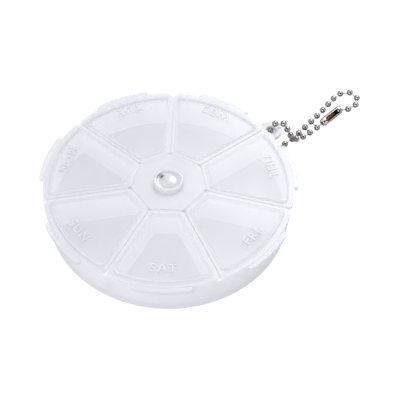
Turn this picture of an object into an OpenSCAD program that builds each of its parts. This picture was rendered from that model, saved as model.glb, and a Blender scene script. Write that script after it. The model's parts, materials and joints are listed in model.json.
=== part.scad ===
// Round seven-day travel pill organizer: a divided tray, a hub with seven hinged lids
// and a ball chain through the lug. Z is up, the tray stands on z = 0, the hub axis is
// the origin, and the Saturday lid points along -Y. All sizes are in millimetres.

/* [Tray] */
// Outer diameter of the tray at its rim
case_d = 90; // [75:1:110]
// Height of the tray, without the lids
case_h = 14.4; // [12:0.2:22]
// How much narrower the tray's radius is at the bottom
taper = 0.9; // [0:0.1:1.5]
// Radius of the rounded bottom edge
edge_r = 1.6; // [0.8:0.1:2.4]
// Thickness of the outer wall
wall_t = 1.4; // [1:0.1:2]
// Thickness of the floor
floor_t = 1.4; // [1:0.1:2.4]
// Thickness of each radial divider
divider_t = 2.4; // [1.6:0.1:3]
// Thickness of the heptagonal wall round the middle
core_wall_t = 1.8; // [1.2:0.1:2.6]

/* [Hub] */
// Diameter of the hub across its corners, to the middle of the hinges
hub_d = 28; // [23:0.5:34]
// Outer diameter of the post in the middle of the tray
post_d = 7.2; // [6:0.2:9]
// Radial clearance of the post in the hub plate
post_clear = 0.1; // [0.05:0.01:0.2]
// Diameter of the plug's head
plug_head_d = 11; // [9.6:0.2:13]
// Height of the plug's head above the hub plate
plug_head_h = 1.8; // [1.4:0.1:2.6]
// Diameter of the plug's shank
plug_shank_d = 3.6; // [2.8:0.1:4.4]
// Length of the plug's shank below its head
plug_shank_l = 9; // [6:0.5:11]
// How much larger the shank's radius is than the post's bore, to press it in
plug_press = 0.02; // [0.01:0.01:0.05]

/* [Lids] */
// Thickness of the hub plate and of the lids' borders
lid_t = 1.2; // [0.9:0.1:1.8]
// Height of each lid's raised panel above its border
panel_rise = 0.8; // [0.4:0.1:1.2]
// Width of the border beside the raised panel
side_border = 1.3; // [1:0.1:2]
// Width of the border outside the raised panel
rim_border = 2.2; // [1.6:0.1:3]
// Width of the border next to the hinge
hinge_border = 1.6; // [1.2:0.1:2.4]
// Gap between two neighbouring lids
lid_gap = 0.5; // [0.4:0.05:0.9]
// Depth of the lip that closes inside the outer wall
lip_h = 1.2; // [0.8:0.1:1.6]
// Thickness of that lip
lip_t = 0.9; // [0.7:0.1:1.3]
// Clearance between the lip and the outer wall
lip_clear = 0.25; // [0.2:0.05:0.4]
// Width of the film hinge between the hub and a lid
film_w = 0.8; // [0.6:0.1:1.2]
// Thickness of the film hinge
film_t = 0.3; // [0.25:0.05:0.4]

/* [Thumb tabs] */
// Width of a thumb tab along the rim
tab_w = 20; // [14:0.5:26]
// How far a tab stands out past the rim
tab_reach = 1.7; // [1.2:0.1:2.4]
// Depth of the tab's lip below the lid's border
tab_drop = 1; // [0.5:0.1:1.6]
// Gap between the tab's lip and the tray's wall
tab_clear = 0.3; // [0.25:0.05:0.5]

/* [Lug] */
// Radius of the lug's rounded end
lug_r = 4.2; // [3.6:0.1:5]
// Distance from the tray's rim to the middle of the lug's hole
lug_reach = 2.8; // [2.6:0.1:4]
// Thickness of the lug
lug_t = 1.8; // [1.4:0.1:2.6]
// Depth of the lug's top face below the tray's rim
lug_drop = 1.2; // [0.8:0.1:2]
// Diameter of the hole that the chain goes through
lug_hole_d = 3.4; // [3:0.1:4]

/* [Ball chain] */
// Diameter of a bead
bead_d = 2.4; // [2:0.1:2.9]
// Wall thickness of a hollow bead
bead_wall_t = 0.3; // [0.25:0.05:0.4]
// Number of beads, with the two that the coupling holds
beads = 28; // [26:1:30]
// Diameter of the pins that join the beads
pin_d = 0.5; // [0.4:0.05:0.6]
// Smallest angle between the two pins of a bead, where the chain bends most
pin_bend = 95; // [90:1:120]
// Gap that the heads of those two pins keep inside the bead
head_gap = 0.024; // [0.012:0.004:0.06]
// Radial clearance of a pin in a bead's holes
pin_clear = 0.05; // [0.04:0.01:0.08]
// Radial clearance of a bead in the coupling sleeve
sleeve_clear = 0.1; // [0.05:0.05:0.2]
// Wall thickness of the sleeve
sleeve_t = 0.3; // [0.2:0.05:0.35]
// Width of the open slot along the sleeve
sleeve_slot = 1.9; // [1.4:0.1:2.2]
// Angle that the slot is turned from straight up towards the front
sleeve_turn = 30; // [0:5:45]
// Radial clearance of a pin in the sleeve's mouths
mouth_clear = 0.15; // [0.1:0.05:0.25]

/* [Hidden] */

// the seven equal sectors
days = 7;
sector = 360 / days;
half = sector / 2;
function day_angle(day) = -90 - (day + 1) * sector;
function divider_angle(n) = 90 + n * sector;

// radii and heights that several pieces share
case_r = case_d / 2;
foot_r = case_r - taper;
hinge_x = hub_d / 2 * cos(half);
core_x = hinge_x - film_w / 2;
lid_top = case_h + lid_t;
lug_x = case_r + lug_reach;
lug_angle = divider_angle(-1);
lug_top = case_h - lug_drop;
beyond = case_r * 1.4;
eps = 0.01;

clear_plastic = [0.9, 0.9, 0.94, 0.75];
tray_plastic = [0.86, 0.87, 0.92, 0.75];
nickel = [0.75, 0.75, 0.77];

// Half the width of a sector at distance x from the axis, less a gap along its sides
function sector_y(x, gap) = x * tan(half) - gap / cos(half);

// The outline of a sector from x outwards, with its sides moved in by a gap
module sector_outline(x, gap, reach = beyond) {
    polygon([
        [x, -sector_y(x, gap)],
        [reach, -sector_y(reach, gap)],
        [reach, sector_y(reach, gap)],
        [x, sector_y(x, gap)]
    ]);
}

// A seven-sided column with its corners on the dividers, apothem x
module heptagon(x, height) {
    rotate([0, 0, 90])
        cylinder(r = x / cos(half), h = height, $fn = days);
}

module disc(radius, height) {
    cylinder(r = radius, h = height, $fn = 96);
}

// The tray's outer body: a tapered side with a rounded bottom edge
module tray_body() {
    steps = 6;
    bottom_edge = [for (n = [0 : steps])
        [foot_r - edge_r + edge_r * sin(90 * n / steps), edge_r - edge_r * cos(90 * n / steps)]];
    rotate_extrude($fn = 96)
        polygon(concat([[0, 0]], bottom_edge, [[case_r, case_h], [0, case_h]]));
}

// The inside of the outer wall, parallel to its taper
module tray_inside() {
    rotate_extrude($fn = 96)
        polygon([
            [0, floor_t], [foot_r - wall_t, floor_t],
            [case_r - wall_t, case_h + 1], [0, case_h + 1]
        ]);
}

// One pill compartment, between two dividers
module compartment(angle) {
    intersection() {
        tray_inside();
        rotate([0, 0, angle])
            linear_extrude(case_h + 2)
                sector_outline(core_x, divider_t / 2);
    }
}

// The lug's ear and the foot that joins it to the tray's side
module lug_blank() {
    rotate([0, 0, lug_angle])
        translate([0, 0, lug_top - lug_t]) {
            translate([lug_x, 0, 0])
                cylinder(r = lug_r, h = lug_t, $fn = 64);
            linear_extrude(lug_t)
                polygon([
                    [case_r - wall_t, -lug_r * 1.6], [lug_x - lug_r * 0.2, -lug_r * 0.96],
                    [lug_x - lug_r * 0.2, lug_r * 0.96], [case_r - wall_t, lug_r * 1.6]
                ]);
        }
}

module base_tray() {
    color(tray_plastic)
        difference() {
            union() {
                difference() {
                    tray_body();
                    for (day = [0 : days - 1])
                        compartment(day_angle(day));
                    translate([0, 0, floor_t])
                        heptagon(core_x - core_wall_t, case_h);
                }
                cylinder(d = post_d, h = lid_top - 0.1, $fn = 48);
                lug_blank();
            }
            translate([0, 0, lid_top - plug_shank_l - 0.5])
                cylinder(d = plug_shank_d - 2 * plug_press, h = plug_shank_l + 1, $fn = 48);
            rotate([0, 0, lug_angle])
                translate([lug_x, 0, lug_top - lug_t - 1])
                    cylinder(d = lug_hole_d, h = lug_t + 2, $fn = 48);
        }
}

module hub_plate() {
    color(clear_plastic)
        translate([0, 0, case_h])
            difference() {
                heptagon(core_x, lid_t);
                translate([0, 0, -1])
                    cylinder(d = post_d + 2 * post_clear, h = lid_t + 2, $fn = 48);
            }
}

// A snap rivet: a rimmed head with a low dome in it, on a shank pressed into the post
module centre_plug() {
    head_r = plug_head_d / 2;
    round_r = 0.5;
    dome_r = head_r * 0.62;
    sunk = plug_head_h * 0.45;
    steps = 4;
    head_edge = [for (n = [0 : steps])
        [head_r - round_r + round_r * cos(90 * n / steps),
            plug_head_h - round_r + round_r * sin(90 * n / steps)]];
    dome = [for (n = [0 : steps])
        [dome_r * cos(90 * n / steps), sunk + sunk * sin(90 * n / steps)]];
    color(clear_plastic)
        translate([0, 0, lid_top])
            rotate_extrude($fn = 64)
                polygon(concat(
                    [[0, -plug_shank_l], [plug_shank_d / 2 - 0.3, -plug_shank_l],
                        [plug_shank_d / 2, -plug_shank_l + 0.6], [plug_shank_d / 2, 0], [head_r, 0]],
                    head_edge,
                    [[head_r - 1.1, plug_head_h], [head_r - 1.3, sunk]],
                    dome));
}

// A lid over the sector that points along +X
module lid_shape() {
    rim_inner = case_r - rim_border;
    lip_r = case_r - wall_t - lip_clear;
    side = lid_gap / 2;
    panel_side = side + side_border;
    difference() {
        union() {
            // the border plate
            translate([0, 0, case_h])
                linear_extrude(lid_t)
                    intersection() {
                        circle(r = case_r, $fn = 96);
                        sector_outline(hinge_x + film_w / 2, side);
                    }
            // the raised panel
            translate([0, 0, lid_top - eps])
                linear_extrude(panel_rise + eps)
                    intersection() {
                        circle(r = rim_inner, $fn = 96);
                        sector_outline(hinge_x + hinge_border, panel_side);
                    }
            // the lip inside the outer wall
            translate([0, 0, case_h - lip_h])
                linear_extrude(lip_h + eps)
                    intersection() {
                        difference() {
                            circle(r = lip_r, $fn = 96);
                            circle(r = lip_r - lip_t, $fn = 96);
                        }
                        sector_outline(hinge_x, divider_t / 2 + lip_clear);
                    }
            thumb_tab();
        }
        // the hollow under the raised panel
        translate([0, 0, case_h - eps])
            linear_extrude(panel_rise + eps)
                intersection() {
                    circle(r = min(rim_inner - lid_t, lip_r - lip_t), $fn = 96);
                    sector_outline(hinge_x + hinge_border + lid_t, panel_side + lid_t);
                }
    }
}

// The thumb tab, which reaches out past the rim and turns down over the tray's side
module thumb_tab() {
    tab_half = asin(tab_w / 2 / case_r);
    mouth = [[0, 0],
        [beyond * cos(tab_half), -beyond * sin(tab_half)],
        [beyond * cos(tab_half), beyond * sin(tab_half)]];
    translate([0, 0, case_h])
        linear_extrude(lid_t - 0.2)
            intersection() {
                difference() {
                    circle(r = case_r + tab_reach, $fn = 96);
                    circle(r = case_r - 1, $fn = 96);
                }
                polygon(mouth);
            }
    translate([0, 0, case_h - tab_drop])
        linear_extrude(tab_drop + eps)
            intersection() {
                difference() {
                    circle(r = case_r + tab_reach, $fn = 96);
                    circle(r = case_r + tab_clear, $fn = 96);
                }
                polygon(mouth);
            }
}

module lid(day) {
    color(clear_plastic)
        rotate([0, 0, day_angle(day)])
            lid_shape();
}

// The thin film that joins one lid to the hub plate, flush with their top faces
module hinge_film(day) {
    film_y = sector_y(hinge_x - film_w / 2, lid_gap / 2);
    color(clear_plastic)
        rotate([0, 0, day_angle(day)])
            translate([hinge_x - film_w / 2, -film_y, lid_top - film_t])
                cube([film_w, film_y * 2, film_t]);
}

// The ball chain's line, from the middle of the lug's hole: x and y are measured from
// the hole, and z from the surface that the tray stands on or, for the points with a
// lug height, from the lug's top face.
bead_r = bead_d / 2;
bead_inner_r = bead_r - bead_wall_t;
pin_head_d = (2 * bead_inner_r * sin(pin_bend / 2) - head_gap) / (1 + sin(pin_bend / 2));
sleeve_d = bead_d + 2 * (sleeve_clear + sleeve_t);
over = lug_top + bead_r;
under = lug_top - lug_t;
chain_line = [
    [28.6, 22.6, sleeve_d / 2], [32.4, 23.8, bead_r], [35.7, 26.3, bead_r], [36.7, 29.5, bead_r],
    [35, 32.6, bead_r], [31.9, 33.3, bead_r], [28.5, 31.2, bead_r], [25.8, 27.7, bead_r],
    [20.9, 20.8, bead_r], [15.5, 13.9, bead_r], [10, 7, bead_r], [7.2, 4.2, bead_r],
    [4.6, 2.2, bead_r], [2.2, 0.8, bead_r + 0.7], [0.5, 0.1, bead_r + 2.6],
    [0, 0, under * 0.55], [0, 0, under], [0, 0, lug_top], [0.6, 0.4, over + 0.5],
    [2.2, 1.4, over + 0.9], [4.2, 2.4, over + 0.1], [5.7, 2.9, over - 2], [6.9, 3.3, over - 4.8],
    [8.4, 3.7, (over - 4.8) * 0.6 + 0.4], [10.9, 4.7, bead_r + 2.1], [13.4, 6.9, bead_r + 0.8],
    [16.2, 9.8, bead_r + 0.1], [19.4, 12.9, bead_r], [22.4, 16, sleeve_d / 2]
];

// A smooth curve through the points, in a few short steps from each point to the next
smooth = 6;
last = len(chain_line) - 1;
function through(a, b, c, d, t) = 0.5 * (2 * b + (c - a) * t
    + (2 * a - 5 * b + 4 * c - d) * t * t + (3 * b - a - 3 * c + d) * t * t * t);
chain_curve = concat(
    [for (n = [0 : last - 1], s = [0 : smooth - 1])
        through(chain_line[max(n - 1, 0)], chain_line[n], chain_line[n + 1],
            chain_line[min(n + 2, last)], s / smooth)],
    [chain_line[last]]);
function run_length(curve, n) =
    n == 0 ? 0 : run_length(curve, n - 1) + norm(curve[n] - curve[n - 1]);
chain_l = run_length(chain_curve, len(chain_curve) - 1);

// The point at a given distance along the curve
function along(curve, far, n = 1) = let (step = norm(curve[n] - curve[n - 1]))
    far <= step || n == len(curve) - 1
        ? curve[n - 1] + (curve[n] - curve[n - 1]) * min(far / step, 1)
        : along(curve, far - step, n + 1);
bead_pitch = chain_l / (beads - 1);
bead_at = [for (n = [0 : beads - 1]) along(chain_curve, n * bead_pitch)];

// Puts its children in the lug's place
module at_lug() {
    translate([lug_x * cos(lug_angle), lug_x * sin(lug_angle), 0])
        children();
}

// Turns a child that points along +Z to point from one place to another
module aim(from, to) {
    v = to - from;
    translate(from)
        rotate([0, acos(v[2] / norm(v)), atan2(v[1], v[0])])
            children();
}

// A ball round a bead's middle, with its poles to the sides of the chain's line
module ball(n, radius) {
    before = bead_at[max(n - 1, 0)];
    after = bead_at[min(n + 1, beads - 1)];
    translate(bead_at[n] - before)
        aim(before, after)
            rotate([90, 0, 0])
                sphere(r = radius, $fn = 32);
}

// The hollow ball, with a hole towards each neighbour that a pin joins it to
module bead(n) {
    hole_r = pin_d / 2 + pin_clear;
    difference() {
        ball(n, bead_r);
        ball(n, bead_inner_r);
        if (n > 0)
            aim(bead_at[n], bead_at[n - 1])
                cylinder(r = hole_r, h = bead_d, $fn = 24);
        if (n < beads - 1)
            aim(bead_at[n], bead_at[n + 1])
                cylinder(r = hole_r, h = bead_d, $fn = 24);
    }
}

module chain_beads() {
    color(nickel)
        at_lug()
            for (n = [0 : beads - 1])
                bead(n);
}

// A pin with a round head inside each of two neighbouring beads
module pin(from, to) {
    span = norm(to - from);
    inset = bead_inner_r - pin_head_d / 2;
    aim(from, to)
        union() {
            translate([0, 0, inset])
                cylinder(d = pin_d, h = span - 2 * inset, $fn = 24);
            for (z = [inset, span - inset])
                translate([0, 0, z])
                    sphere(d = pin_head_d, $fn = 24);
        }
}

module chain_pins() {
    color(nickel)
        at_lug()
            for (n = [0 : beads - 2])
                pin(bead_at[n], bead_at[n + 1]);
}

// A half-round ended profile of the given radius round a line from z = 0 to length
function capsule(radius, length, steps = 8) = concat(
    [for (n = [0 : steps]) [radius * sin(90 * n / steps), -radius * cos(90 * n / steps)]],
    [for (n = [0 : steps]) [radius * cos(90 * n / steps), length + radius * sin(90 * n / steps)]]);

// The sheet-metal sleeve that holds the chain's two end beads and closes the loop
module chain_coupling() {
    first_end = bead_at[beads - 1];
    other_end = bead_at[0];
    span = norm(other_end - first_end);
    opening_end = bead_r * 0.4;
    mouth_r = pin_d / 2 + mouth_clear;
    color(nickel)
        at_lug()
            difference() {
                aim(first_end, other_end)
                    difference() {
                        rotate_extrude($fn = 48)
                            polygon(capsule(sleeve_d / 2, span));
                        rotate_extrude($fn = 48)
                            polygon(capsule(sleeve_d / 2 - sleeve_t, span));
                        rotate([0, 0, sleeve_turn]) {
                            // the wide opening between the two held beads
                            translate([-sleeve_d, -sleeve_slot / 2, opening_end])
                                cube([sleeve_d, sleeve_slot, span - 2 * opening_end]);
                            // the narrow slits that lead a pin from it to each end
                            translate([-sleeve_d, -mouth_r, -sleeve_d / 2 - eps])
                                cube([sleeve_d, 2 * mouth_r, span + sleeve_d + 2 * eps]);
                        }
                    }
                // the mouths that the two end pins leave by
                aim(first_end, bead_at[beads - 2])
                    cylinder(r = mouth_r, h = sleeve_d, $fn = 24);
                aim(other_end, bead_at[1])
                    cylinder(r = mouth_r, h = sleeve_d, $fn = 24);
            }
}

base_tray();
hub_plate();
centre_plug();
lid(0);  // lid_sunday
lid(1);  // lid_monday
lid(2);  // lid_tuesday
lid(3);  // lid_wednesday
lid(4);  // lid_thursday
lid(5);  // lid_friday
lid(6);  // lid_saturday
hinge_film(0);  // hinge_sunday
hinge_film(1);  // hinge_monday
hinge_film(2);  // hinge_tuesday
hinge_film(3);  // hinge_wednesday
hinge_film(4);  // hinge_thursday
hinge_film(5);  // hinge_friday
hinge_film(6);  // hinge_saturday
chain_beads();
chain_pins();
chain_coupling();
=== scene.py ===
# %% [markdown]
# # A round travel pill case in Blender
#
# The case is a tray of milky polypropylene with seven compartments. A lid for each day is
# hinged on a seven-sided hub, and a ball chain hangs from a lug on the tray's side.
#
# The shapes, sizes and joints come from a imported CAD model, the frame. This script gives each
# piece a finer mesh and its finish. Every size that the frame can tell is read from it, so a
# piece always lies where the CAD piece lies.

import json
import math

import bmesh
import bpy
from mathutils import Matrix, Vector

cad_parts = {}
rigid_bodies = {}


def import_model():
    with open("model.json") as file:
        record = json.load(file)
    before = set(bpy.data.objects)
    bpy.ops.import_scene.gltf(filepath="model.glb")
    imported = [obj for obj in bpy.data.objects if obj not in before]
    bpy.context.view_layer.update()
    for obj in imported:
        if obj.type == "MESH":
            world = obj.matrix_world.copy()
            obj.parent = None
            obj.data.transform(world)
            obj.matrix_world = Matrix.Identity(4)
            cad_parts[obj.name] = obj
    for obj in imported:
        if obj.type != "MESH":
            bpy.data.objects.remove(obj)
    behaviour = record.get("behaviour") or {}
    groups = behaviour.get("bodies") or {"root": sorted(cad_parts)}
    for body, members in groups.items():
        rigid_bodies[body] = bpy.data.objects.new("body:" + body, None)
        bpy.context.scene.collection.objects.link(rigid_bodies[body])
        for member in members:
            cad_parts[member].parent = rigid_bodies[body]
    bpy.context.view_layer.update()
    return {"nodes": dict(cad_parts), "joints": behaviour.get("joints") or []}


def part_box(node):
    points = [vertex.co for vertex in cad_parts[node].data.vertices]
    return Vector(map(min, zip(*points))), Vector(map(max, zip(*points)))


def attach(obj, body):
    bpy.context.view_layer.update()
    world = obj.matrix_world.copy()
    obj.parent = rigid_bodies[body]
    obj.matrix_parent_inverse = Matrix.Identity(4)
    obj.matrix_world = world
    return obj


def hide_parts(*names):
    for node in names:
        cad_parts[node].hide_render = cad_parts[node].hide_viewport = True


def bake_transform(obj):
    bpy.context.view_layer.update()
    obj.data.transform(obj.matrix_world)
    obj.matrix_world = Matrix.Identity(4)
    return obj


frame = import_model()
MM = 0.001

# %% [markdown]
# ## Sizes
#
# A CAD node's box gives most of what is needed. The hub plate, for example, lies from the
# tray's rim up to the lids' top face, and its flat side towards -Y tells its apothem. The
# joints tell where each lid turns and which way it faces. The few sizes that no box shows,
# such as the width of a thumb tab, are named beside the piece that needs them.

# %% Sizes from the frame
tray_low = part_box("base_tray")[0]
hub_low, hub_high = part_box("hub_plate")
film_low, film_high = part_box("hinge_saturday")
lid_low, lid_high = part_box("lid_saturday")
plug_low, plug_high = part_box("centre_plug")

case_r = -tray_low.x
case_h = hub_low.z
lid_top = hub_high.z
panel_top = lid_high.z
tab_r = -lid_low.y
hub_apothem = -hub_low.y
film_w = film_high.y - film_low.y
film_bottom = film_low.z
hinge_x = hub_apothem + film_w / 2
lip_bottom = lid_low.z
print(f"tray {2 * case_r / MM:.1f} mm across and {case_h / MM:.1f} mm high,",
      f"hinges at {hinge_x / MM:.2f} mm")

# %% Where the lids are
DAYS = ["sunday", "monday", "tuesday", "wednesday", "thursday", "friday", "saturday"]
FULL_TURN = 2 * math.pi
SECTOR = FULL_TURN / len(DAYS)
HALF = SECTOR / 2
lid_turns = {}
for joint in frame["joints"]:
    if joint["child"].endswith("_lid"):
        x, y, _ = joint["pos_m"]
        lid_turns[joint["child"]] = math.atan2(y, x)
print("lids face", [round(math.degrees(a)) for a in lid_turns.values()])

# %% [markdown]
# ## Camera
#
# A long lens from about four case widths away looks down at 50 degrees and slightly from the
# right. The case sits left of the middle so that the chain has room: the lens is shifted for
# that, which keeps the case's own perspective.

# %% Camera
AIM = Vector((0, 0, 15.6 * MM))
CAMERA_AWAY = 351.6 * MM
CAMERA_TURN = math.radians(2.65)
CAMERA_UP = math.radians(50.3)
LENS_MM = 88.3
LENS_SHIFT = (0.079, -0.044)

camera = bpy.data.objects.new("camera", bpy.data.cameras.new("camera"))
bpy.context.scene.collection.objects.link(camera)
back = Vector((
    math.sin(CAMERA_TURN) * math.cos(CAMERA_UP),
    -math.cos(CAMERA_TURN) * math.cos(CAMERA_UP),
    math.sin(CAMERA_UP),
))
camera.location = AIM + back * CAMERA_AWAY
camera.rotation_mode = "QUATERNION"
camera.rotation_quaternion = (-back).to_track_quat("-Z", "Y")
camera.data.sensor_width = 36
camera.data.lens = LENS_MM
camera.data.shift_x, camera.data.shift_y = LENS_SHIFT
camera.data.clip_start = 0.01
bpy.context.scene.camera = camera
print("camera at", [round(v, 3) for v in camera.location])

# %% [markdown]
# ## Floor and light
#
# The case is pale and see-through, so it needs a light that is soft and comes from all round.
# The floor and the sky behind the case are plain white to the camera. The same white all round
# would burn out the pale plastic and leave the nickel balls white on white. So everything
# but the camera meets grey paper and a sky with a few dark patches, which are what the balls
# mirror. A Light Path node tells the two apart. A large softbox at the back right gives the
# lids a broad sheen, and another at the front left fills the wall.


# %% Floor
def split_for_camera(tree, real, shown, output):
    """Gives the camera one shader and everything else in the scene another."""
    path = tree.nodes.new("ShaderNodeLightPath")
    either = tree.nodes.new("ShaderNodeMixShader")
    tree.links.new(path.outputs["Is Camera Ray"], either.inputs["Fac"])
    tree.links.new(real.outputs[0], either.inputs[1])
    tree.links.new(shown.outputs[0], either.inputs[2])
    tree.links.new(either.outputs[0], output.inputs[0])


def make_floor(half_width=3.0, drop=0.0002):
    """A square of paper just under the case, so that the two never share a face."""
    mesh = bpy.data.meshes.new("floor")
    corners = ((-1, -1), (1, -1), (1, 1), (-1, 1))
    mesh.from_pydata([(x * half_width, y * half_width, 0) for x, y in corners], [], [(0, 1, 2, 3)])
    sheet = bpy.data.objects.new("floor", mesh)
    sheet.location.z = -drop
    bpy.context.scene.collection.objects.link(sheet)
    material = bpy.data.materials.new("floor_paper")
    material.use_nodes = True
    tree = material.node_tree
    paper = tree.nodes["Principled BSDF"]
    paper.inputs["Base Color"].default_value = (0.62, 0.62, 0.63, 1)
    paper.inputs["Roughness"].default_value = 0.9
    paper.inputs["Specular IOR Level"].default_value = 0.1
    white = tree.nodes.new("ShaderNodeEmission")
    white.inputs["Strength"].default_value = 1.06
    split_for_camera(tree, paper, white, tree.nodes["Material Output"])
    mesh.materials.append(material)
    return sheet


floor = make_floor()
print("floor:", len(floor.data.vertices), "corners,", round(floor.location.z / MM, 2), "mm high")


# %% Sky
def towards(azimuth, elevation):
    """A direction from the case, with azimuth 0 straight behind it and 90 to its right."""
    turn, rise = math.radians(azimuth), math.radians(elevation)
    return Vector((math.sin(turn) * math.cos(rise), math.cos(turn) * math.cos(rise), math.sin(rise)))


# How bright the sky is, and its tone at a few heights: 0 is the horizon and 1 is overhead.
SKY_STRENGTH = 1.12
SKY_TONES = [
    (0.0, (0.25, 0.25, 0.26, 1)),
    (0.1, (1.0, 1.0, 1.02, 1)),
    (0.8, (0.92, 0.92, 0.94, 1))]
# Each dark patch: its direction, then how many degrees its core and its soft edge reach.
DARK_SPOTS = [
    (towards(177, 50), 24, 34),
    (towards(180, 14), 8, 18),
    (towards(-38, 20), 10, 17),
    (towards(70, 6), 6, 14),
    (towards(-100, 8), 8, 16)]


def dark_patch(nodes, link, place, direction, inner, outer):
    """A factor that is 0 within the inner angle of a direction and 1 beyond the outer one."""
    facing = nodes.new("ShaderNodeVectorMath")
    facing.operation = "DOT_PRODUCT"
    facing.inputs[1].default_value = direction
    fall = nodes.new("ShaderNodeMapRange")
    fall.interpolation_type = "SMOOTHSTEP"
    fall.inputs["From Min"].default_value = math.cos(math.radians(outer))
    fall.inputs["From Max"].default_value = math.cos(math.radians(inner))
    fall.inputs["To Min"].default_value = 1.0
    fall.inputs["To Max"].default_value = 0.0
    link(place.outputs["Generated"], facing.inputs[0])
    link(facing.outputs["Value"], fall.inputs["Value"])
    return fall


def make_sky():
    world = bpy.data.worlds.new("studio")
    bpy.context.scene.world = world
    world.use_nodes = True
    nodes, link = world.node_tree.nodes, world.node_tree.links.new
    nodes.clear()
    place = nodes.new("ShaderNodeTexCoord")
    split = nodes.new("ShaderNodeSeparateXYZ")
    ramp = nodes.new("ShaderNodeValToRGB")
    stops = ramp.color_ramp.elements
    for n, (height, tone) in enumerate(SKY_TONES):
        stop = stops[n] if n < len(stops) else stops.new(height)
        stop.position, stop.color = height, tone
    link(place.outputs["Generated"], split.inputs[0])
    link(split.outputs["Z"], ramp.inputs[0])
    level = ramp.outputs["Color"]
    for direction, inner, outer in DARK_SPOTS:
        patch = dark_patch(nodes, link, place, direction, inner, outer)
        shade = nodes.new("ShaderNodeVectorMath")
        shade.operation = "SCALE"
        link(level, shade.inputs[0])
        link(patch.outputs[0], shade.inputs["Scale"])
        level = shade.outputs[0]
    glow = nodes.new("ShaderNodeBackground")
    glow.inputs["Strength"].default_value = SKY_STRENGTH
    link(level, glow.inputs["Color"])
    backdrop = nodes.new("ShaderNodeBackground")
    backdrop.inputs["Color"].default_value = (1.0, 1.0, 1.0, 1)
    split_for_camera(world.node_tree, glow, backdrop, nodes.new("ShaderNodeOutputWorld"))


make_sky()
print("sky with", len(DARK_SPOTS), "dark patches")


# %% Lamps
def lamp(name, place, size, watts):
    """A square softbox that looks at the case."""
    light = bpy.data.lights.new(name, "AREA")
    light.shape = "SQUARE"
    light.size = size
    light.energy = watts
    thing = bpy.data.objects.new(name, light)
    thing.location = place
    thing.rotation_mode = "QUATERNION"
    thing.rotation_quaternion = (-Vector(place)).to_track_quat("-Z", "Y")
    bpy.context.scene.collection.objects.link(thing)


lamp("softbox", 0.9 * towards(22, 46), size=0.45, watts=3.8)
lamp("front_fill", (-0.3, -0.9, 0.35), size=0.5, watts=4.5)
bpy.context.scene.view_settings.view_transform = "Standard"

# %% [markdown]
# ## Tools for the mouldings
#
# A moulding here is a few simple solids joined or cut with booleans, whose hard edges are
# then rounded with a bevel, as the radii in a mould round them. Every solid is a loft: a
# stack of loops with the same number of points. That covers prisms, tapered pockets and
# rounded steps alike. A solid of revolution is a profile swept round Z.


# %% Meshes from loops
def new_piece(name, mesh):
    piece = bpy.data.objects.new(name, mesh)
    bpy.context.scene.collection.objects.link(piece)
    return piece


def on_circle(radius, angle):
    return Vector((radius * math.cos(angle), radius * math.sin(angle)))


def solid(name, shape):
    """Makes a piece of a finished bmesh, with its faces pointing outwards."""
    bmesh.ops.recalc_face_normals(shape, faces=shape.faces)
    mesh = bpy.data.meshes.new(name)
    shape.to_mesh(mesh)
    shape.free()
    return new_piece(name, mesh)


def loft(name, loops):
    """A closed solid through loops of equally many points, with its ends capped."""
    shape = bmesh.new()
    rows = [[shape.verts.new(p) for p in loop] for loop in loops]
    count = len(rows[0])
    for low, high in zip(rows, rows[1:]):
        for n in range(count):
            m = (n + 1) % count
            shape.faces.new((low[n], low[m], high[m], high[n]))
    shape.faces.new(list(reversed(rows[0])))
    shape.faces.new(rows[-1])
    return solid(name, shape)


def at_height(outline, height):
    return [(p.x, p.y, height) for p in outline]


def prism(name, outline, low, high):
    """An outline carried straight up from one height to another."""
    return loft(name, [at_height(outline, low), at_height(outline, high)])


def revolve(name, profile, steps=180):
    """A solid of revolution from (radius, height) points that begin and end on the axis."""
    shape = bmesh.new()
    rows = []
    for radius, height in profile:
        if radius < 1e-7:
            rows.append([shape.verts.new((0, 0, height))])
            continue
        rows.append([shape.verts.new((*on_circle(radius, FULL_TURN * n / steps), height))
                     for n in range(steps)])
    for low, high in zip(rows, rows[1:]):
        for n in range(steps):
            m = (n + 1) % steps
            corners = [low[n % len(low)], low[m % len(low)],
                       high[m % len(high)], high[n % len(high)]]
            corners = list(dict.fromkeys(corners))
            if len(corners) > 2:
                shape.faces.new(corners)
    return solid(name, shape)


print("solids can be lofted or turned")


# %% Applying modifiers, cutting and rounding
def settle(piece):
    """Turns a piece with modifiers into a plain mesh."""
    seen = piece.evaluated_get(bpy.context.evaluated_depsgraph_get())
    mesh = bpy.data.meshes.new_from_object(seen)
    mesh.name = piece.name
    old = piece.data
    piece.modifiers.clear()
    piece.data = mesh
    bpy.data.meshes.remove(old)


def combine(piece, tool, operation):
    """Joins a tool to a piece, or cuts it away, and removes the tool."""
    change = piece.modifiers.new("combine", "BOOLEAN")
    change.operation = operation
    change.solver = "EXACT"
    change.object = tool
    settle(piece)
    bpy.data.objects.remove(tool)


def tidy_mesh(piece, merge=0.004 * MM, flat=math.radians(0.4)):
    """Merges doubled points and melts the edges that booleans leave across flat faces."""
    shape = bmesh.new()
    shape.from_mesh(piece.data)
    bmesh.ops.remove_doubles(shape, verts=shape.verts, dist=merge)
    bmesh.ops.dissolve_limit(shape, angle_limit=flat, verts=shape.verts, edges=shape.edges)
    shape.to_mesh(piece.data)
    shape.free()


def soften(piece, width, segments=3):
    """Rounds a moulding's hard edges and keeps its flat faces flat to the light."""
    tidy_mesh(piece)
    bevel = piece.modifiers.new("bevel", "BEVEL")
    bevel.width = width
    bevel.segments = segments
    bevel.limit_method = "ANGLE"
    bevel.angle_limit = math.radians(32)
    bevel.use_clamp_overlap = False
    bevel.miter_outer = "MITER_ARC"
    piece.data.shade_smooth()
    steady = piece.modifiers.new("weighted", "WEIGHTED_NORMAL")
    steady.weight = 80
    settle(piece)
    return piece


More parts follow.
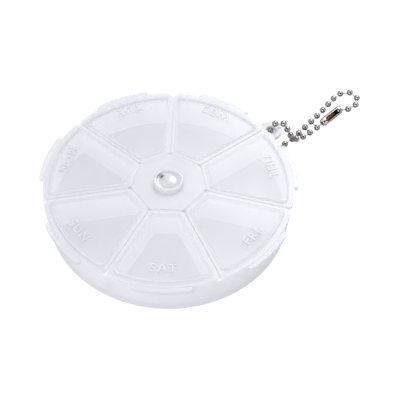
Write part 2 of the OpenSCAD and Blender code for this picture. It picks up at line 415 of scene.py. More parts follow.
def turned(piece, angle):
    """Turns a piece's mesh about Z, so that its object stays at the origin."""
    piece.data.transform(Matrix.Rotation(angle, 4, "Z"))
    return piece


print("mouldings can be cut, joined, rounded and turned")

# %% [markdown]
# ## Sector outlines
#
# The tray's pockets and the lids are all sectors of a disc: a straight side next to the hub,
# two straight sides along the dividers, and an arc at the rim. One function draws them all,
# from the hub distance, the inset of the sides and the outer radius. Its corners are rounded
# with short curves.


# %% Outline of a sector that faces +X
def round_corner(corner, before, after, amount, steps=4):
    """Points of a curve from a corner's one side to its other."""
    start = corner + (before - corner).normalized() * amount
    end = corner + (after - corner).normalized() * amount
    points = []
    for n in range(steps + 1):
        t = n / steps
        points.append(start * (1 - t) ** 2 + corner * (2 * t * (1 - t)) + end * t ** 2)
    return points


def sector_outline(inner_x, gap, outer_r, corner=0.8 * MM, rim_corner=None, arc_steps=36):
    """The outline of a sector with its inner side at inner_x and its sides moved in by gap."""
    rim_corner = rim_corner or corner

    def on_side(radius):
        along = math.sqrt(radius * radius - gap * gap)
        return Vector((
            along * math.cos(HALF) + gap * math.sin(HALF),
            along * math.sin(HALF) - gap * math.cos(HALF)))

    inner_y = inner_x * math.tan(HALF) - gap / math.cos(HALF)
    rim = on_side(outer_r)
    low_hub, high_hub = Vector((inner_x, -inner_y)), Vector((inner_x, inner_y))
    low_rim, high_rim = Vector((rim.x, -rim.y)), rim
    rim_angle = math.atan2(rim.y, rim.x)
    trim = rim_corner / outer_r
    arc = []
    for n in range(arc_steps + 1):
        arc.append(on_circle(outer_r, -rim_angle + trim + (2 * rim_angle - 2 * trim) * n / arc_steps))
    points = round_corner(low_hub, high_hub, low_rim, min(corner, inner_y * 0.5))
    points += round_corner(low_rim, low_hub, arc[0], rim_corner)[:-1]
    points += arc
    points += round_corner(high_rim, arc[-1], high_hub, rim_corner)[1:]
    points += round_corner(high_hub, high_rim, low_hub, min(corner, inner_y * 0.5))
    return points


def ring_sector(inner_r, outer_r, angle, corner=0.0, steps=28):
    """A band between two radii, from -angle to +angle, with its outer corners rounded."""
    inside = [on_circle(inner_r, angle * (1 - 2 * n / steps)) for n in range(steps + 1)]
    arc_half = angle - corner / outer_r
    outside = [on_circle(outer_r, arc_half * (2 * n / steps - 1)) for n in range(steps + 1)]
    if corner:
        low, high = on_circle(outer_r, -angle), on_circle(outer_r, angle)
        outside = round_corner(low, inside[-1], outside[0], corner)[:-1] + outside
        outside += round_corner(high, outside[-1], inside[0], corner)[1:]
    return outside + inside


lid_gap = 0.5 * MM
print("a lid's outline has", len(sector_outline(hinge_x, lid_gap / 2, case_r)), "points")

# %% [markdown]
# ## Finishes
#
# The mouldings are natural polypropylene: milky, slightly cool in colour, and clearer where
# they are thin. Real milkiness is light that scatters inside the wall. Transmission and
# subsurface scattering could make it, but in walls this thin both come out grey or burnt out.
# So the plastic is partly see-through by its Alpha, and a faint glow in its own colour is
# painted light that stands for the light a wall passes on. Thin places get a lower Alpha.
# Edges, which gather light, get a paler tone as painted light, and so do the tray's inner
# walls; the tray's floor gets a darker tone as painted shade.
#
# A perfectly even material doesn't read as plastic or metal. Three effects are therefore
# built once as node groups and shared: fine grain from the mould, a cloudy variation in the
# resin or plating, and hairline scratches, which only the nickel wears. What is the same all
# over, such as Alpha or IOR, is set on the shader's own sockets.


# %% The mould's grain as a node group
def effect_group(name, inputs, outputs):
    group = bpy.data.node_groups.new(name, "ShaderNodeTree")
    for label, value in inputs:
        socket = group.interface.new_socket(name=label, in_out="INPUT", socket_type="NodeSocketFloat")
        socket.default_value = value
    for label in outputs:
        group.interface.new_socket(name=label, in_out="OUTPUT", socket_type="NodeSocketFloat")
    return group, group.nodes.new("NodeGroupInput"), group.nodes.new("NodeGroupOutput")


def make_grain_group():
    """Fine pebbling from a spark-eroded mould: a height for a bump."""
    group, given, result = effect_group("Mould grain", [("Scale", 2500.0)], ["Height"])
    node, link = group.nodes.new, group.links.new
    place = node("ShaderNodeTexCoord")
    noise = node("ShaderNodeTexNoise")
    noise.inputs["Detail"].default_value = 3
    noise.inputs["Roughness"].default_value = 0.6
    link(place.outputs["Object"], noise.inputs["Vector"])
    link(given.outputs["Scale"], noise.inputs["Scale"])
    link(noise.outputs[0], result.inputs["Height"])
    return group


GRAIN = make_grain_group()
print("shader group:", GRAIN.name)


# %% Clouds in the resin
def make_cloud_group():
    """Slow, soft variation in how milky the resin is, from 0 to 1."""
    group, given, result = effect_group("Resin clouds", [("Scale", 60.0)], ["Cloud"])
    node, link = group.nodes.new, group.links.new
    place = node("ShaderNodeTexCoord")
    noise = node("ShaderNodeTexNoise")
    noise.inputs["Detail"].default_value = 1
    noise.inputs["Distortion"].default_value = 0.2
    spread = node("ShaderNodeMapRange")
    spread.interpolation_type = "SMOOTHSTEP"
    spread.inputs["From Min"].default_value = 0.2
    spread.inputs["From Max"].default_value = 0.8
    link(place.outputs["Object"], noise.inputs["Vector"])
    link(given.outputs["Scale"], noise.inputs["Scale"])
    link(noise.outputs[0], spread.inputs["Value"])
    link(spread.outputs[0], result.inputs["Cloud"])
    return group


CLOUD = make_cloud_group()
print("shader group:", CLOUD.name)


# %% Hairline scratches
def make_scratch_group():
    """Hairline scratches in two directions: a mask of thin lines, from 0 to 1."""
    group, given, result = effect_group(
        "Hairline scratches", [("Scale", 90.0), ("Width", 0.03)], ["Mask"])
    node, link = group.nodes.new, group.links.new
    place = node("ShaderNodeTexCoord")
    lines = []
    for turn, stretch in ((0.5, 14.0), (-0.9, 11.0)):
        tilt = node("ShaderNodeMapping")
        tilt.inputs["Rotation"].default_value[2] = turn
        tilt.inputs["Scale"].default_value = (1.0, stretch, 1.0)
        noise = node("ShaderNodeTexNoise")
        noise.inputs["Detail"].default_value = 4
        offset = node("ShaderNodeMath")
        offset.operation = "SUBTRACT"
        offset.inputs[1].default_value = 0.5
        size = node("ShaderNodeMath")
        size.operation = "ABSOLUTE"
        thin = node("ShaderNodeMapRange")
        thin.inputs["From Min"].default_value = 0.0
        thin.inputs["To Min"].default_value = 1.0
        thin.inputs["To Max"].default_value = 0.0
        link(place.outputs["Object"], tilt.inputs["Vector"])
        link(tilt.outputs[0], noise.inputs["Vector"])
        link(given.outputs["Scale"], noise.inputs["Scale"])
        link(noise.outputs[0], offset.inputs[0])
        link(offset.outputs[0], size.inputs[0])
        link(size.outputs[0], thin.inputs["Value"])
        link(given.outputs["Width"], thin.inputs["From Max"])
        lines.append(thin)
    both = node("ShaderNodeMath")
    both.operation = "MAXIMUM"
    link(lines[0].outputs[0], both.inputs[0])
    link(lines[1].outputs[0], both.inputs[1])
    link(both.outputs[0], result.inputs["Mask"])
    return group


SCRATCHES = make_scratch_group()
print("shader group:", SCRATCHES.name)


# %% A material that uses them
def place_group(tree, group, **values):
    node = tree.nodes.new("ShaderNodeGroup")
    node.node_tree = group
    for label, value in values.items():
        node.inputs[label].default_value = value
    return node


def finish(name, colour, cloudy, rough, worn, grain=0.0, scratch=0.0,
           metallic=0.0, coat=0.0, edge=1.0, alpha=1.0, glow=0.0):
    """A finish whose colour drifts between two tones, with grain or scratches on top.

    Nickel gets scratches and the rest a grain, each given as the depth of its relief.
    """
    material = bpy.data.materials.new(name)
    material.use_nodes = True
    tree = material.node_tree
    link = tree.links.new
    shader = tree.nodes["Principled BSDF"]
    shader.inputs["Metallic"].default_value = metallic
    shader.inputs["IOR"].default_value = 1.49
    shader.inputs["Alpha"].default_value = alpha
    shader.inputs["Coat Weight"].default_value = coat
    shader.inputs["Coat Roughness"].default_value = 0.08
    shader.inputs["Specular Tint"].default_value = (edge, edge, edge, 1)
    shader.inputs["Emission Strength"].default_value = glow
    cloud = place_group(tree, CLOUD, Scale=70.0)
    tone = tree.nodes.new("ShaderNodeMix")
    tone.data_type = "RGBA"
    tone.inputs["A"].default_value = (*colour, 1)
    tone.inputs["B"].default_value = (*cloudy, 1)
    link(cloud.outputs["Cloud"], tone.inputs["Factor"])
    link(tone.outputs["Result"], shader.inputs["Base Color"])
    if glow:
        link(tone.outputs["Result"], shader.inputs["Emission Color"])
    relief = tree.nodes.new("ShaderNodeBump")
    relief.inputs["Strength"].default_value = 0.5
    polish = tree.nodes.new("ShaderNodeMapRange")
    polish.inputs["To Min"].default_value = rough
    polish.inputs["To Max"].default_value = worn
    if scratch:
        scratches = place_group(tree, SCRATCHES, Scale=90.0, Width=0.02)
        relief.invert = True
        relief.inputs["Distance"].default_value = scratch
        link(scratches.outputs["Mask"], polish.inputs["Value"])
        link(scratches.outputs["Mask"], relief.inputs["Height"])
    else:
        pebbles = place_group(tree, GRAIN, Scale=2500.0)
        relief.inputs["Distance"].default_value = grain
        link(cloud.outputs["Cloud"], polish.inputs["Value"])
        link(pebbles.outputs["Height"], relief.inputs["Height"])
    link(polish.outputs[0], shader.inputs["Roughness"])
    link(relief.outputs[0], shader.inputs["Normal"])
    return material


print("finishes can be made")

# %% [markdown]
# Each tray, lid or plug has two or three finishes, and a rule that looks at where a face lies
# and which way it points picks one of them for it. Some of these are painted light and shade:
# the tray's floor and lug are darker as painted shade, its inner walls and the lids' edges
# paler as painted light, and a dark wedge on the plug is a painted shade. An attribute could
# carry the same choice, but plain material slots are easy to see and change.


# %% Finishes, face by face
def paint(piece, materials, choose=lambda middle, normal: 0):
    """Gives a piece its materials and picks one of them for each face."""
    piece.data.materials.clear()
    for material in materials:
        piece.data.materials.append(material)
    for face in piece.data.polygons:
        face.material_index = choose(face.center, face.normal)


GLOW = 0.25
TRAY_SKIN = {"rough": 0.3, "worn": 0.32, "grain": 0.01 * MM, "glow": GLOW}
LID_SKIN = {"rough": 0.26, "worn": 0.27, "grain": 0.003 * MM, "glow": GLOW}
# The tray's three finishes are lit and shaded copies of one plastic: the inner walls' is paler,
# painted light, and the floor's darker, painted shade.
WALL_PLASTIC = finish("tray_wall", (0.68, 0.675, 0.72), (0.66, 0.655, 0.705),
                      alpha=0.7, **TRAY_SKIN)
LIT_DIVIDER_PLASTIC = finish("tray_divider", (0.73, 0.73, 0.765), (0.71, 0.71, 0.75),
                         alpha=0.8, **TRAY_SKIN)
SHADED_FLOOR_PLASTIC = finish("tray_floor", (0.51, 0.505, 0.54), (0.485, 0.48, 0.52),
                       alpha=0.85, **TRAY_SKIN)
PANEL_PLASTIC = finish("lid_panel", (0.67, 0.67, 0.71), (0.655, 0.655, 0.70),
                       alpha=0.34, **LID_SKIN)
BORDER_PLASTIC = finish("lid_border", (0.59, 0.59, 0.628), (0.575, 0.575, 0.615),
                        alpha=0.62, **LID_SKIN)
# The lids' edge finish is a paler copy of the border: painted light for the light that edges gather.
LIT_EDGE_PLASTIC = finish("lid_edge", (0.70, 0.70, 0.73), (0.68, 0.68, 0.715),
                      alpha=0.62, **LID_SKIN)
PLUG_PLASTIC = finish("plug_clear", (0.60, 0.60, 0.64), (0.57, 0.57, 0.61),
                      rough=0.12, worn=0.14, coat=0.6, alpha=0.6, glow=GLOW)
# A dark finish for the painted shade in one wedge of the plug's sunk ring.
PLUG_PAINTED_SHADE = finish("plug_shade", (0.10, 0.10, 0.12), (0.05, 0.05, 0.07),
                    rough=0.12, worn=0.2, coat=1.0, alpha=0.85)
NICKEL = finish("nickel_plate", (0.40, 0.388, 0.38), (0.31, 0.302, 0.295),
                rough=0.04, worn=0.1, scratch=0.003 * MM, metallic=1.0, edge=0.0)
SLEEVE_NICKEL = finish("sleeve_nickel", (0.66, 0.645, 0.635), (0.56, 0.55, 0.54),
                       rough=0.05, worn=0.12, scratch=0.003 * MM, metallic=1.0, edge=0.0)
PIN_STEEL = finish("pin_steel", (0.40, 0.40, 0.40), (0.33, 0.33, 0.34),
                   rough=0.2, worn=0.3, grain=0.001 * MM, metallic=1.0)
BRASS = finish("bare_brass", (0.26, 0.12, 0.06), (0.15, 0.07, 0.035),
               rough=0.25, worn=0.4, grain=0.002 * MM, metallic=1.0)
print("finishes:", len([m for m in bpy.data.materials if m.use_nodes]))

# %% [markdown]
# ## The tray
#
# The tray is one moulding. Its body is a turned disc with a slightly tapered side and a
# rounded foot. Seven pockets are sunk into it, all alike, one every seventh of a turn. That
# is a rule, so a small Geometry Nodes tree does it: it sets one pocket cutter on each of a
# ring of points, turned to face outwards, and cuts them all from the body at once.


# %% Tools for Geometry Nodes trees
def geometry_tree(name, inputs):
    tree = bpy.data.node_groups.new(name, "GeometryNodeTree")
    tree.is_modifier = True
    tree.interface.new_socket(name="Geometry", in_out="INPUT", socket_type="NodeSocketGeometry")
    for label, kind, value in inputs:
        socket = tree.interface.new_socket(name=label, in_out="INPUT", socket_type=kind)
        if value is not None:
            socket.default_value = value
    tree.interface.new_socket(name="Geometry", in_out="OUTPUT", socket_type="NodeSocketGeometry")
    return tree, tree.nodes.new("NodeGroupInput"), tree.nodes.new("NodeGroupOutput")


def use_tree(piece, tree, **values):
    """Adds a tree to a piece with its inputs set by name, and makes a plain mesh of the result."""
    modifier = piece.modifiers.new(tree.name, "NODES")
    modifier.node_group = tree
    for item in tree.interface.items_tree:
        label = item.name.replace(" ", "_").lower()
        if item.item_type == "SOCKET" and item.in_out == "INPUT" and label in values:
            modifier[item.identifier] = values[label]
    settle(piece)


def end_tree(tree, given, result, shape):
    """Ends a tree: what it placed becomes real geometry and takes the given finish."""
    real = tree.nodes.new("GeometryNodeRealizeInstances")
    dress = tree.nodes.new("GeometryNodeSetMaterial")
    tree.links.new(shape, real.inputs[0])
    tree.links.new(real.outputs[0], dress.inputs["Geometry"])
    tree.links.new(given.outputs["Finish"], dress.inputs["Material"])
    tree.links.new(dress.outputs[0], result.inputs[0])


print("trees can be made and used")


# %% A tree that cuts one shape out all round
def make_pocket_tree():
    tree, given, result = geometry_tree("Cut all round", [
        ("Cutter", "NodeSocketObject", None),
        ("Count", "NodeSocketInt", 7),
        ("First angle", "NodeSocketFloat", 0.0),
        ("Finish", "NodeSocketMaterial", None)])
    nodes, link = tree.nodes, tree.links.new
    points = nodes.new("GeometryNodePoints")
    index = nodes.new("GeometryNodeInputIndex")
    step = nodes.new("ShaderNodeMath")
    step.operation = "DIVIDE"
    step.inputs[0].default_value = FULL_TURN
    angle = nodes.new("ShaderNodeMath")
    angle.operation = "MULTIPLY_ADD"
    turn = nodes.new("ShaderNodeCombineXYZ")
    cutter = nodes.new("GeometryNodeObjectInfo")
    ring = nodes.new("GeometryNodeInstanceOnPoints")
    real = nodes.new("GeometryNodeRealizeInstances")
    cut = nodes.new("GeometryNodeMeshBoolean")
    cut.operation = "DIFFERENCE"
    cut.solver = "EXACT"
    link(given.outputs["Count"], points.inputs["Count"])
    link(given.outputs["Count"], step.inputs[1])
    link(index.outputs[0], angle.inputs[0])
    link(step.outputs[0], angle.inputs[1])
    link(given.outputs["First angle"], angle.inputs[2])
    link(angle.outputs[0], turn.inputs["Z"])
    link(given.outputs["Cutter"], cutter.inputs["Object"])
    link(points.outputs[0], ring.inputs["Points"])
    link(cutter.outputs["Geometry"], ring.inputs["Instance"])
    link(turn.outputs[0], ring.inputs["Rotation"])
    link(ring.outputs[0], real.inputs[0])
    link(given.outputs["Geometry"], cut.inputs["Mesh 1"])
    link(real.outputs[0], cut.inputs["Mesh 2"])
    end_tree(tree, given, result, cut.outputs["Mesh"])
    return tree


POCKETS = make_pocket_tree()
print("tree:", POCKETS.name, "with", len(POCKETS.nodes), "nodes")


# %% The tray's body
def quarter_round(centre_r, centre_z, radius, start, end, steps=6):
    return [(centre_r + radius * math.cos(start + (end - start) * n / steps),
             centre_z + radius * math.sin(start + (end - start) * n / steps))
            for n in range(steps + 1)]


taper = 0.9 * MM
foot_round = 1.6 * MM
foot_r = case_r - taper
tray = revolve("tray", [
    (0, 0),
    *quarter_round(foot_r - foot_round, foot_round, foot_round, -math.pi / 2, 0),
    (case_r, case_h),
    (0, case_h)])
print("tray's body:", len(tray.data.polygons), "faces")

# %% One pocket, cut seven times
wall = 1.4 * MM
floor_t = 1.4 * MM
divider_t = 2.4 * MM
pocket_fillet = 0.9 * MM
cutter_top = case_h + 2 * MM


def pocket_loop(height, inset):
    """The pocket's outline at one height, narrower by inset all round."""
    outer = foot_r - wall + taper * (height - floor_t) / (case_h - floor_t) - inset
    outline = sector_outline(hub_apothem + inset, divider_t / 2 + inset, outer, corner=1.2 * MM)
    return at_height(outline, height)


pocket_levels = [(floor_t + pocket_fillet * (1 - math.cos(a)), pocket_fillet * (1 - math.sin(a)))
                 for a in [math.pi / 2 * n / 4 for n in range(5)]]
pocket = loft("pocket", [pocket_loop(h, inset) for h, inset in [*pocket_levels, (cutter_top, 0)]])
use_tree(tray, POCKETS, cutter=pocket, count=len(DAYS), first_angle=lid_turns["saturday_lid"],
         finish=WALL_PLASTIC)
bpy.data.objects.remove(pocket)
print("tray with pockets:", len(tray.data.polygons), "faces")

# %% [markdown]
# In its middle the tray has a seven-sided well with a hollow post, which the plug goes into.
# At its side a flat ear, the lug, takes the chain. These occur once, so a few lofts and turned
# shapes are joined to the body or cut from it, and then all edges are rounded together.


# %% The tray's core and post
def heptagon(apothem, turn=math.pi / 2):
    radius = apothem / math.cos(HALF)
    return [on_circle(radius, turn + SECTOR * n) for n in range(len(DAYS))]


core_wall = 1.8 * MM
post_d = 7.2 * MM
bore_r = 1.78 * MM
post_foot = floor_t - 0.3 * MM
post_top = lid_top - 0.1 * MM
bore_end = plug_low.z - 0.5 * MM
core = prism("core", heptagon(hub_apothem - core_wall), floor_t, cutter_top)
combine(tray, core, "DIFFERENCE")
post = revolve("post", [
    (0, post_foot), (post_d / 2, post_foot), (post_d / 2, post_top), (bore_r, post_top),
    (bore_r, bore_end), (0, bore_end)], steps=64)
combine(tray, post, "UNION")
print("tray with post:", len(tray.data.polygons), "faces")

# %% The tray's lug
lug_hole = Vector(next(j for j in frame["joints"] if j["child"] == "chain")["pos_m"])
lug_x = lug_hole.xy.length
lug_turn = math.atan2(lug_hole.y, lug_hole.x)
lug_r = 4.2 * MM
lug_t = 1.8 * MM
lug_top = case_h - 1.2 * MM
lug_hole_r = 3.4 * MM / 2


def lug_outline():
    """An ear round the hole that flares where it meets the tray."""
    points = [Vector((case_r - wall, -lug_r * 1.6)), Vector((lug_x - lug_r * 0.55, -lug_r * 1.08))]
    for n in range(29):
        angle = math.radians(-100 + 200 * n / 28)
        points.append(Vector((lug_x + lug_r * math.cos(angle), lug_r * math.sin(angle))))
    points += [Vector((lug_x - lug_r * 0.55, lug_r * 1.08)), Vector((case_r - wall, lug_r * 1.6))]
    return points


lug = turned(prism("lug", lug_outline(), lug_top - lug_t, lug_top), lug_turn)
combine(tray, lug, "UNION")
hole_loop = [lug_hole.xy + on_circle(lug_hole_r, FULL_TURN * n / 40) for n in range(40)]
hole = prism("hole", hole_loop, lug_top - 2 * lug_t, lug_top + lug_t)
combine(tray, hole, "DIFFERENCE")
soften(tray, 0.16 * MM, segments=2)
print("tray with lug, all edges rounded:", len(tray.data.polygons), "faces")


# %% The tray's finishes
def tray_part(middle, normal):
    """0 for the outer wall, 1 for the walls inside, paler as painted light, 2 for the floor and the
    thin lug, darker as painted shade.
    """
    if middle.z < floor_t + 0.3 * MM and abs(normal.z) > 0.8:
        return 2
    if middle.xy.length > case_r and normal.z > -0.5:
        return 2
    return 0 if middle.xy.length > case_r - wall else 1


paint(tray, [WALL_PLASTIC, LIT_DIVIDER_PLASTIC, SHADED_FLOOR_PLASTIC], tray_part)
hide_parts("base_tray")
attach(tray, "case")
print("tray:", len(tray.data.polygons), "faces")

# %% [markdown]
# ## The lids
#
# All seven lids come from one mould, so one is made facing +X and copied round. It is a
# border plate with a raised panel, hollow beneath, a lip that drops inside the tray's wall,
# and a thumb tab that turns down over the rim. A hair's width is left under the plate, so
# that the lid and the tray never share a face, which would show as noise in clear plastic.


# %% One lid
seat = 0.03 * MM
side_border = 1.3 * MM
rim_border = 2.2 * MM
hinge_border = 1.6 * MM
panel_wall = 1.2 * MM
panel_draft = 0.35 * MM * 0.3
lip_t = 0.9 * MM
lip_clear = 0.25 * MM
tab_w = 20 * MM
tab_drop = 1.0 * MM
tab_clear = 0.3 * MM
tab_corner = 1.1 * MM


def make_lid():
    side = lid_gap / 2
    plate = sector_outline(hinge_x + film_w / 2, side, case_r, corner=0.5 * MM, rim_corner=2.6 * MM)
    lid = prism("lid", plate, case_h + seat, lid_top)
    panel_r = case_r - rim_border
    panel_side = side + side_border
    panel_levels = [(lid_top - 0.2 * MM, 0.1 * MM), (lid_top + 0.05 * MM, 0.05 * MM),
                    (panel_top, -panel_draft)]
    panel = loft("panel", [
        at_height(sector_outline(hinge_x + hinge_border - grow, panel_side - grow, panel_r + grow,
                                 corner=1.2 * MM, rim_corner=2.0 * MM), h)
        for h, grow in panel_levels])
    combine(lid, panel, "UNION")
    overlap = case_h + 0.2 * MM
    lip_r = case_r - wall - lip_clear
    lip_angle = HALF - math.asin((divider_t / 2 + lip_clear) / lip_r)
    lip = prism("lip", ring_sector(lip_r - lip_t, lip_r, lip_angle), lip_bottom, overlap)
    combine(lid, lip, "UNION")
    tab_angle = math.asin(tab_w / 2 / case_r)
    tab = ring_sector(case_r - 1 * MM, tab_r, tab_angle, corner=tab_corner)
    combine(lid, prism("tab", tab, case_h + seat, lid_top - 0.2 * MM), "UNION")
    skirt = ring_sector(case_r + tab_clear, tab_r, tab_angle, corner=tab_corner)
    combine(lid, prism("skirt", skirt, case_h - tab_drop, overlap), "UNION")
    hollow_r = min(panel_r - panel_wall, lip_r - lip_t)
    hollow = sector_outline(hinge_x + hinge_border + panel_wall, panel_side + panel_wall,
                            hollow_r, corner=1.2 * MM)
    hollow_top = case_h + (panel_top - lid_top)
    combine(lid, prism("hollow", hollow, case_h - 1 * MM, hollow_top), "DIFFERENCE")
    return soften(lid, 0.16 * MM)


pattern = make_lid()
print("a lid:", len(pattern.data.polygons), "faces")


# %% Seven copies, one on each hinge
def lid_part(middle, normal):
    """1 for the thin panel's top and the ceiling under it, 2 for edges, which gather light: their
    paler tone is painted light.
    """
    if abs(normal.z) < 0.9 and middle.z > case_h:
        return 2
    above = middle.z > panel_top - 0.1 * MM
    below = case_h + 0.5 * MM < middle.z < lid_top - 0.2 * MM
    return 1 if abs(normal.z) > 0.95 and (above or below) else 0


for day in DAYS:
    body = day + "_lid"
    copy = new_piece(day + "_cover", pattern.data.copy())
    turned(copy, lid_turns[body])
    paint(copy, [BORDER_PLASTIC, PANEL_PLASTIC, LIT_EDGE_PLASTIC], lid_part)
    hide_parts("lid_" + day)
    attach(copy, body)
bpy.data.objects.remove(pattern)

# %% [markdown]
# ## Day marks
#
# Short day names stand up from the lids in plain capitals, near the rim and readable from
# outside. They are part of the lid moulding, so they wear the same plastic. Each is a text
# object with a little thickness, made a mesh before it is turned into place.

# %% Raised letters
MARK_SIZE = 4.6 * MM
MARK_HEIGHT = 0.35 * MM
MARK_BASE = 39.4 * MM


def make_mark(day):
    words = bpy.data.curves.new("mark_" + day, "FONT")
    words.body = day[:3].upper()
    words.size = MARK_SIZE
    words.align_x = "CENTER"
    words.space_character = 1.25
    words.extrude = MARK_HEIGHT / 2
    words.bevel_depth = 0.05 * MM
    words.resolution_u = 4
    text = new_piece("text_" + day, words)
    bpy.context.view_layer.update()
    seen = text.evaluated_get(bpy.context.evaluated_depsgraph_get())
    mesh = bpy.data.meshes.new_from_object(seen)
    bpy.data.objects.remove(text)
    mark = new_piece("mark_" + day, mesh)
    angle = lid_turns[day + "_lid"]
    mesh.transform(Matrix.Translation((0, -MARK_BASE, panel_top + MARK_HEIGHT / 2 - 0.04 * MM)))
    mesh.transform(Matrix.Rotation(angle + math.pi / 2, 4, "Z"))
    paint(mark, [BORDER_PLASTIC])
    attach(mark, day + "_lid")


for day in DAYS:
    make_mark(day)

# %% [markdown]
# ## Hub plate and plug
#
# The hub plate is a heptagon with a hole for the post, lofted and cut like the tray's core. The
# plug is glossy and turned: a rim, a sunk ring and a low dome, on a shank that goes down into
# the post. One profile swept round Z makes all of it, with no joint between the shapes.

# %% Hub plate
hub = prism("hub", heptagon(hub_apothem), case_h + seat, lid_top)
hub_hole_r = post_d / 2 + 0.1 * MM
hub_hole = revolve("hub_hole", [(0, case_h - MM), (hub_hole_r, case_h - MM),
                                (hub_hole_r, lid_top + MM), (0, lid_top + MM)], steps=64)
combine(hub, hub_hole, "DIFFERENCE")
soften(hub, 0.12 * MM)
paint(hub, [BORDER_PLASTIC])
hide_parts("hub_plate")
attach(hub, "case")
print("hub plate:", len(hub.data.polygons), "faces")

# %% Plug
head_r = plug_high.x
head_z = plug_high.z
shank_r = 1.77 * MM
sunk_z = lid_top + (head_z - lid_top) * 0.45
dome_r = head_r * 0.62
plug_profile = [
    (0, plug_low.z), (shank_r - 0.3 * MM, plug_low.z), (shank_r, plug_low.z + 0.6 * MM),
    (shank_r, lid_top + seat), (head_r - 0.1 * MM, lid_top + seat),
    (head_r, lid_top + seat + 0.1 * MM),
    *quarter_round(head_r - 0.5 * MM, head_z - 0.5 * MM, 0.5 * MM, 0, math.pi / 2, steps=5),
    (head_r - 1.0 * MM, head_z), (head_r - 1.15 * MM, head_z - 0.1 * MM),
    (head_r - 1.3 * MM, sunk_z + 0.1 * MM), (head_r - 1.45 * MM, sunk_z),
    *[(dome_r * math.cos(a), sunk_z + (head_z - sunk_z) * 0.8 * math.sin(a))
      for a in [math.pi / 2 * n / 8 for n in range(9)]]]
plug = revolve("plug", plug_profile, steps=96)
plug.data.shade_smooth()
plug.data.set_sharp_from_angle(angle=math.radians(40))


# One wedge of the plug's sunk ring is painted dark: a painted shade in the groove.
SHADE_WEDGE = (128, 156)


def plug_part(middle, normal):
    """1 for a dark wedge of the sunk ring, painted shade, between two angles in degrees, else 0."""
    angle = math.degrees(math.atan2(middle.y, middle.x))
    sunk = 2.2 * MM < middle.xy.length < head_r - 1.4 * MM and middle.z > lid_top
    return 1 if sunk and SHADE_WEDGE[0] < angle < SHADE_WEDGE[1] else 0


paint(plug, [PLUG_PLASTIC, PLUG_PAINTED_SHADE], plug_part)
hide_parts("centre_plug")
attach(plug, "case")
print("plug:", len(plug.data.polygons), "faces")

# %% [markdown]
# ## Film hinges
#
# A film hinge is a strip of the same plastic, thin enough to bend for years. As its lid
# opens it curls, so it can't ride on either body, and it is cut into strips across.


# %% Seven films
FILM_REACH = 1.15
FILM_STEPS = 10
film_sink = 0.02 * MM
film_thin = 0.14 * MM


def make_film(day):
    """A strip that reaches a little past its bending part, and is thinnest in its middle."""
    half_w = film_w / 2
    half_y = (hinge_x - half_w) * math.tan(HALF) - lid_gap
    loops = []
    for n in range(FILM_STEPS + 1):
        x = -FILM_REACH * half_w + 2 * FILM_REACH * half_w * n / FILM_STEPS
        thin = film_thin * (1 - min(1, abs(x) / half_w) ** 2)
        low, high = film_bottom + film_sink, lid_top - film_sink - thin
        loops.append([(hinge_x + x, -half_y, low), (hinge_x + x, half_y, low),
                      (hinge_x + x, half_y, high), (hinge_x + x, -half_y, high)])
    film = loft("film_" + day, loops)
    angle = lid_turns[day + "_lid"]
    turned(film, angle)
    film.data.shade_smooth()
    film.data.set_sharp_from_angle(angle=math.radians(35))
    paint(film, [BORDER_PLASTIC])
    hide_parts("hinge_" + day)
    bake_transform(film)


for day in DAYS:
    make_film(day)

# %% [markdown]
# ## The ball chain
#
# The chain repeats along a line, which is what Geometry Nodes are for. The middles of the CAD
# balls give the line. One tree sets a turned ball on every point of it, facing along the line
# so that its two holes look at its neighbours, and a second tree draws the pins as a thin wire
# from ball to ball. Joints between them aren't needed, as the chain swings as one.


# %% The line through the middles of the beads
def bead_middles():
    """The middle of each loose ball in the CAD node, in no order yet."""
    shape = bmesh.new()
    shape.from_mesh(frame["nodes"]["chain_beads"].data)
    bmesh.ops.remove_doubles(shape, verts=shape.verts, dist=0.001 * MM)
    shape.verts.ensure_lookup_table()
    seen, found = set(), []
    for vert in shape.verts:
        if vert.index in seen:
            continue
        island, todo = [], [vert]
        seen.add(vert.index)
        while todo:
            here = todo.pop()
            island.append(here.co.copy())
            for edge in here.link_edges:
                other = edge.other_vert(here)
                if other.index not in seen:
                    seen.add(other.index)
                    todo.append(other)
        low = Vector([min(p[k] for p in island) for k in range(3)])
        high = Vector([max(p[k] for p in island) for k in range(3)])
        middle = (low + high) / 2
        if all((middle - other).length > 0.5 * MM for other in found):
            found.append(middle)
    shape.free()
    return found


def in_order(points):
    """Points from one end of the chain to the other, each the nearest to the one before."""
    grip_low, grip_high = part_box("chain_coupling")
    grip = (grip_low + grip_high) / 2
    left = sorted(points, key=lambda p: (p - grip).length)
    line = [left.pop(0)]
    while left:
        # Both ends sit in the coupling: the second bead mustn't be the one across from it.
        free = left if len(line) > 1 else [p for p in left if (p - grip).length > 6 * MM]
        nearest = min(free, key=lambda p: (p - line[-1]).length)
        left.remove(nearest)
        line.append(nearest)
    return line


beads_at = in_order(bead_middles())
gaps = [(b - a).length / MM for a, b in zip(beads_at, beads_at[1:])]
print(len(beads_at), "beads,", round(min(gaps), 2), "to", round(max(gaps), 2), "mm apart")


# %% A tree for the beads
def make_bead_tree():
    tree, given, result = geometry_tree("Beads on a line", [
        ("Bead", "NodeSocketObject", None),
        ("Finish", "NodeSocketMaterial", None)])
    nodes, link = tree.nodes, tree.links.new
    line = nodes.new("GeometryNodeMeshToCurve")
    spots = nodes.new("GeometryNodeCurveToPoints")
    spots.mode = "EVALUATED"
    bead = nodes.new("GeometryNodeObjectInfo")
    row = nodes.new("GeometryNodeInstanceOnPoints")
    link(given.outputs["Geometry"], line.inputs["Mesh"])
    link(line.outputs[0], spots.inputs["Curve"])
    link(spots.outputs["Points"], row.inputs["Points"])
    link(spots.outputs["Rotation"], row.inputs["Rotation"])
    link(given.outputs["Bead"], bead.inputs["Object"])
    link(bead.outputs["Geometry"], row.inputs["Instance"])
    end_tree(tree, given, result, row.outputs[0])
    return tree


BEAD_ROW = make_bead_tree()
print("tree:", BEAD_ROW.name, "with", len(BEAD_ROW.nodes), "nodes")


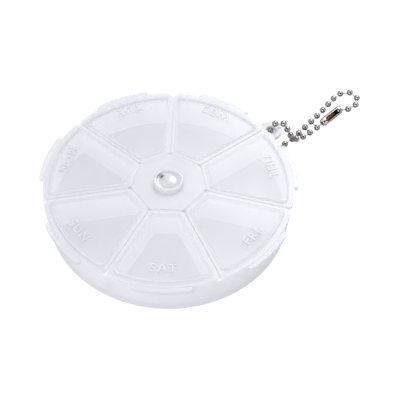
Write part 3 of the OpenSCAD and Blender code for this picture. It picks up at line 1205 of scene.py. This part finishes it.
# %% A tree for the pins
def make_pin_tree():
    tree, given, result = geometry_tree("Pins along a line", [
        ("Radius", "NodeSocketFloat", 0.00025),
        ("Finish", "NodeSocketMaterial", None)])
    nodes, link = tree.nodes, tree.links.new
    line = nodes.new("GeometryNodeMeshToCurve")
    outline = nodes.new("GeometryNodeCurvePrimitiveCircle")
    outline.inputs["Resolution"].default_value = 12
    wire = nodes.new("GeometryNodeCurveToMesh")
    wire.inputs["Fill Caps"].default_value = True
    link(given.outputs["Geometry"], line.inputs["Mesh"])
    link(given.outputs["Radius"], outline.inputs["Radius"])
    link(line.outputs[0], wire.inputs["Curve"])
    link(outline.outputs[0], wire.inputs["Profile Curve"])
    end_tree(tree, given, result, wire.outputs[0])
    return tree


PIN_WIRE = make_pin_tree()
print("tree:", PIN_WIRE.name, "with", len(PIN_WIRE.nodes), "nodes")


# %% One bead, and all of them along the line
def line_piece(name, points):
    mesh = bpy.data.meshes.new(name)
    mesh.from_pydata(points, [(n, n + 1) for n in range(len(points) - 1)], [])
    return new_piece(name, mesh)


bead_r = 1.2 * MM
eye_r = 0.32 * MM
hollow_r = bead_r * 0.8
edge_angle = math.asin(eye_r / bead_r)
around = [edge_angle + (math.pi - 2 * edge_angle) * n / 16 for n in range(17)]
bead = revolve("bead_pattern", [
    (0, -hollow_r * 0.9), (eye_r, -hollow_r * 0.95),
    *[(bead_r * math.sin(a), -bead_r * math.cos(a)) for a in around],
    (eye_r, hollow_r * 0.95), (0, hollow_r * 0.9)], steps=24)
bead.data.shade_smooth()
bead.data.set_sharp_from_angle(angle=math.radians(50))
beads = line_piece("ball_chain", beads_at)
use_tree(beads, BEAD_ROW, bead=bead, finish=NICKEL)
bpy.data.objects.remove(bead)
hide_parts("chain_beads")
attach(beads, "chain")
print("beads:", len(beads.data.polygons), "faces")

# %% The pins
pins = line_piece("ball_chain_pins", beads_at)
use_tree(pins, PIN_WIRE, radius=0.25 * MM, finish=PIN_STEEL)
pins.data.shade_smooth()
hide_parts("chain_pins")
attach(pins, "chain")
print("pins:", len(pins.data.polygons), "faces")

# %% [markdown]
# ## The coupling
#
# The coupling is a sleeve of thin sheet, plated outside and bare brass inside. The CAD shape
# is right, so its mesh is copied and welded instead of being built again, and it is shaded
# smooth up to its sheet edges. The faces that look inwards get the brass.


# %% The coupling
between_sides = 1.38 * MM


def make_coupling():
    source = frame["nodes"]["chain_coupling"]
    sleeve = new_piece("coupling", source.data.copy())
    first, other = beads_at[0], beads_at[-1]
    along = (other - first).normalized()
    middle = (first + other) / 2
    half = (other - first).length / 2
    tidy_mesh(sleeve, merge=0.002 * MM, flat=math.radians(0.2))

    def sleeve_part(spot, normal):
        """1 for the sheet's inner side, 0 for the plated outer one."""
        spot = spot - middle
        far = max(-half, min(half, spot.dot(along)))
        return 1 if (spot - along * far).length < between_sides else 0

    paint(sleeve, [SLEEVE_NICKEL, BRASS], sleeve_part)
    sleeve.data.shade_smooth()
    sleeve.data.set_sharp_from_angle(angle=math.radians(40))
    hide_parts("chain_coupling")
    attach(sleeve, "chain")
    return sleeve


coupling = make_coupling()
print("coupling:", len(coupling.data.polygons), "faces")
